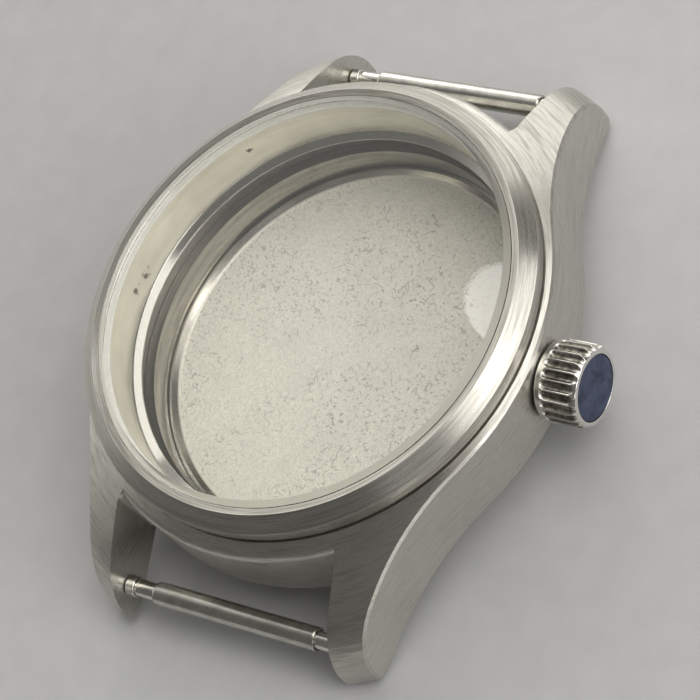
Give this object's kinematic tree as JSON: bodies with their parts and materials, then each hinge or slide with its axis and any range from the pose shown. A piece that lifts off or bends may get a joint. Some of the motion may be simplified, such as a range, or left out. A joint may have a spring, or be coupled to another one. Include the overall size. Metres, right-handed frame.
{
  "type": "empty watch case",
  "caption": "Steel wristwatch case without movement: curved-lug mid-case, pressed-on bezel with crystal, case back, fluted crown on its tube and sprung strap bars.",
  "frame": {"origin": "centre of the case back's flat outer face", "axes": "+X through the crown at 3 o'clock, +Y to 12 o'clock, +Z out through the crystal"},
  "size_m": [0.0419, 0.0492, 0.0119],
  "materials": {
    "case_steel": "fine brushed, ringwise on top and lengthwise on the flanks",
    "bezel_steel": "fine brushed cone with a polished inner bevel",
    "satin_steel": "satin, turned",
    "back_steel": "frosted and scratched inside, satin outside",
    "crystal_glass": "clear, polished",
    "clear_gasket": "milky nylon",
    "black_gasket": "black nitrile rubber",
    "tube_steel": "turned",
    "crown_steel": "satin with polished lands",
    "crown_inlay": "smooth, faintly blue",
    "bar_steel": "drawn tube, satin",
    "tip_steel": "turned and polished",
    "spring_steel": "drawn wire"
  },
  "bodies": {
    "root": {"mid_case": "case_steel", "bezel": "bezel_steel", "crystal": "crystal_glass", "crystal_gasket": "clear_gasket", "rehaut_ring": "satin_steel", "case_back": "back_steel", "case_back_gasket": "black_gasket", "crown_tube": "tube_steel"},
    "crown_seals": {"crown_gasket_outer": "black_gasket", "crown_gasket_inner": "black_gasket", "crown_washer": "tube_steel"},
    "crown": {"crown": "crown_steel", "crown_disc": "crown_inlay"},
    "bar_12_right_tip": {"bar_12_right_tip": "tip_steel"},
    "bar_12_barrel": {"bar_12_barrel": "bar_steel"},
    "bar_12_left_tip": {"bar_12_left_tip": "tip_steel", "bar_12_spring": "spring_steel"},
    "bar_6_right_tip": {"bar_6_right_tip": "tip_steel"},
    "bar_6_barrel": {"bar_6_barrel": "bar_steel"},
    "bar_6_left_tip": {"bar_6_left_tip": "tip_steel", "bar_6_spring": "spring_steel"}
  },
  "joints": [
    {"name": "crown_pull", "type": "slide", "parent": "root", "child": "crown_seals", "axis": [1, 0, 0], "range_m": [0, 0.001]},
    {"name": "crown_turn", "type": "hinge", "parent": "crown_seals", "child": "crown", "pos_m": [0.0216, 0, 0.00554], "axis": [1, 0, 0], "continuous": true},
    {"name": "bar_12_right_press", "type": "slide", "parent": "root", "child": "bar_12_right_tip", "axis": [-1, 0, 0], "range_m": [0, 0.0009], "stiffness_N_per_m": 400, "springref_m": -0.001},
    {"name": "bar_12_barrel_turn", "type": "hinge", "parent": "bar_12_right_tip", "child": "bar_12_barrel", "pos_m": [0, 0.02247, 0.0029], "axis": [1, 0, 0], "continuous": true},
    {"name": "bar_12_left_press", "type": "slide", "parent": "root", "child": "bar_12_left_tip", "axis": [1, 0, 0], "range_m": [0, 0.0009], "stiffness_N_per_m": 400, "springref_m": -0.001, "deforming": ["bar_12_spring"]},
    {"name": "bar_6_right_press", "type": "slide", "parent": "root", "child": "bar_6_right_tip", "axis": [-1, 0, 0], "range_m": [0, 0.0009], "stiffness_N_per_m": 400, "springref_m": -0.001},
    {"name": "bar_6_barrel_turn", "type": "hinge", "parent": "bar_6_right_tip", "child": "bar_6_barrel", "pos_m": [0, -0.02247, 0.0029], "axis": [1, 0, 0], "continuous": true},
    {"name": "bar_6_left_press", "type": "slide", "parent": "root", "child": "bar_6_left_tip", "axis": [1, 0, 0], "range_m": [0, 0.0009], "stiffness_N_per_m": 400, "springref_m": -0.001, "deforming": ["bar_6_spring"]}
  ]
}
